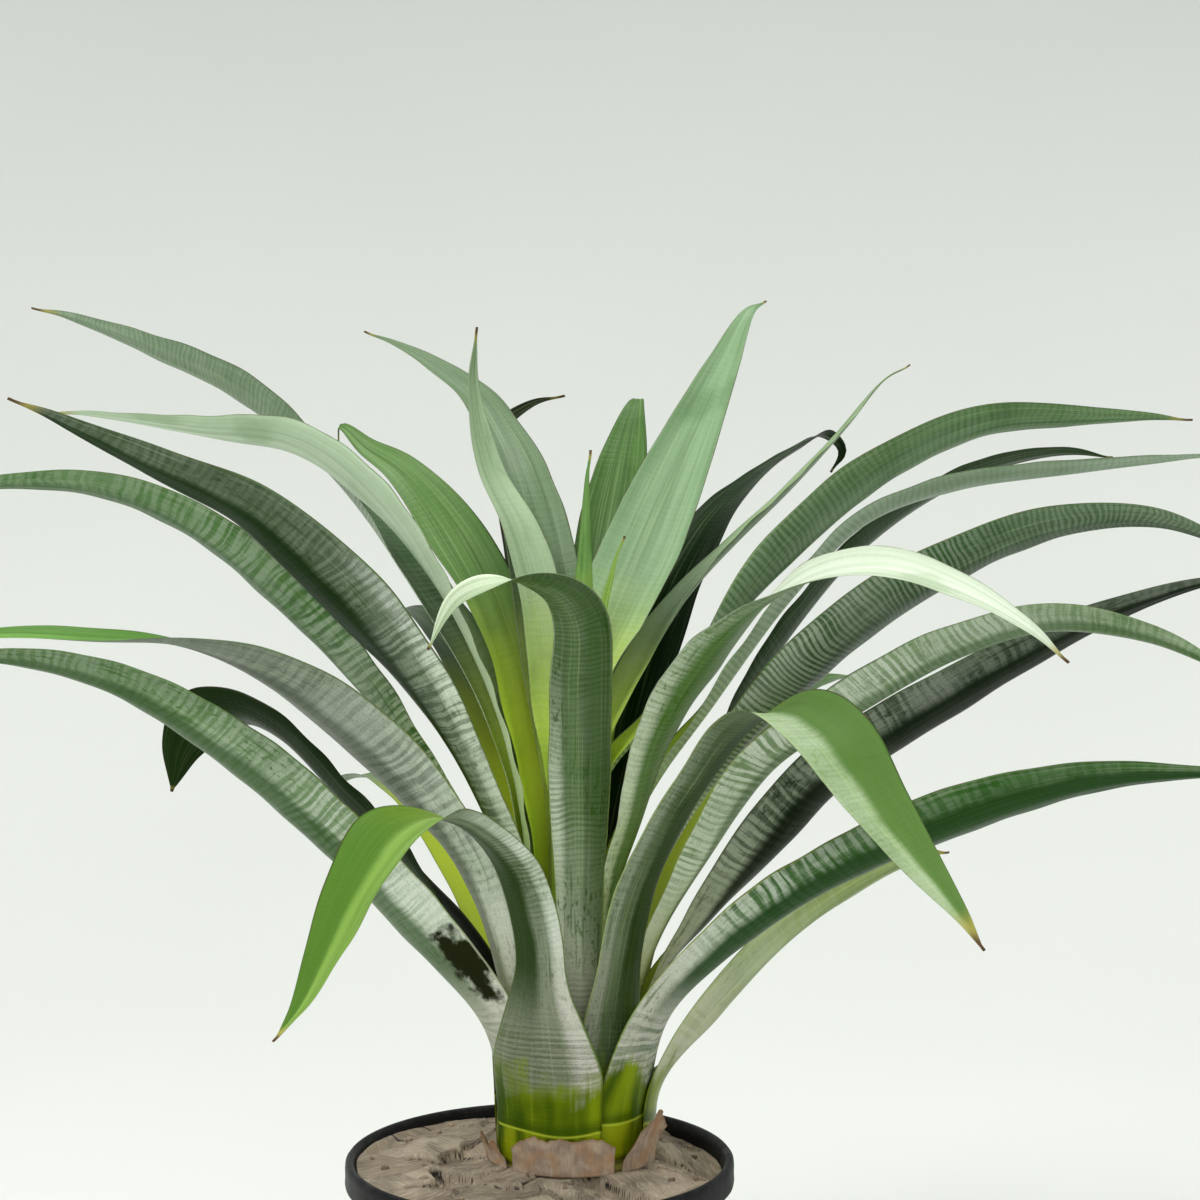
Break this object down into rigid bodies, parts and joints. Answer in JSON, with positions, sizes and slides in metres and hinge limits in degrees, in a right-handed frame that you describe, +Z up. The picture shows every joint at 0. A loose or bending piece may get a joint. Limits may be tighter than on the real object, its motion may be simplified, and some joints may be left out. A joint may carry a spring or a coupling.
{
  "type": "potted bromeliad plant",
  "caption": "Young alcantarea bromeliad in a round black nursery pot: a funnel rosette of long channelled strap leaves that arch outwards, on a short stem in bark potting mix.",
  "frame": {"origin": "centre of the pot's flat base", "axes": "+Z up; +X to the right and -Y towards the viewer when the plant is seen from its front, where the curled leaves are"},
  "size_m": [0.6703, 0.5232, 0.6264],
  "materials": {
    "pot_plastic": "satin",
    "potting_bark": "matte",
    "stem_tissue": "satin",
    "leaf": "satin",
    "heart_leaf": "satin",
    "dry_sheath": "matte"
  },
  "bodies": {
    "root": {"dry_sheath_back": "dry_sheath", "dry_sheath_front": "dry_sheath", "dry_sheath_left": "dry_sheath", "dry_sheath_right": "dry_sheath", "leaf_back_hooked": "leaf", "leaf_back_left_broad": "leaf", "leaf_back_left_low": "leaf", "leaf_back_left_narrow": "leaf", "leaf_back_left_shaded": "leaf", "leaf_back_low": "leaf", "leaf_back_right_dark": "leaf", "leaf_back_right_low": "leaf", "leaf_back_rounded": "leaf", "leaf_front_folded": "leaf", "leaf_front_left_curled": "leaf", "leaf_front_right_broad": "leaf", "leaf_front_right_curled": "leaf", "leaf_heart_spike": "heart_leaf", "leaf_heart_young": "heart_leaf", "leaf_left_banded": "leaf", "leaf_left_broad": "leaf", "leaf_left_drooping": "leaf", "leaf_left_highest": "leaf", "leaf_left_lowest": "leaf", "leaf_left_pale": "leaf", "leaf_left_twisted": "leaf", "leaf_left_wavy": "leaf", "leaf_right_arching": "leaf", "leaf_right_dark": "leaf", "leaf_right_edge_on": "leaf", "leaf_right_grey": "leaf", "leaf_right_highest": "leaf", "leaf_right_low": "leaf", "leaf_right_lowest": "leaf", "leaf_right_shaded": "leaf", "leaf_right_striped": "leaf", "leaf_upright_tall": "leaf", "pot": "pot_plastic", "potting_soil": "potting_bark", "stem": "stem_tissue"}
  },
  "joints": []
}
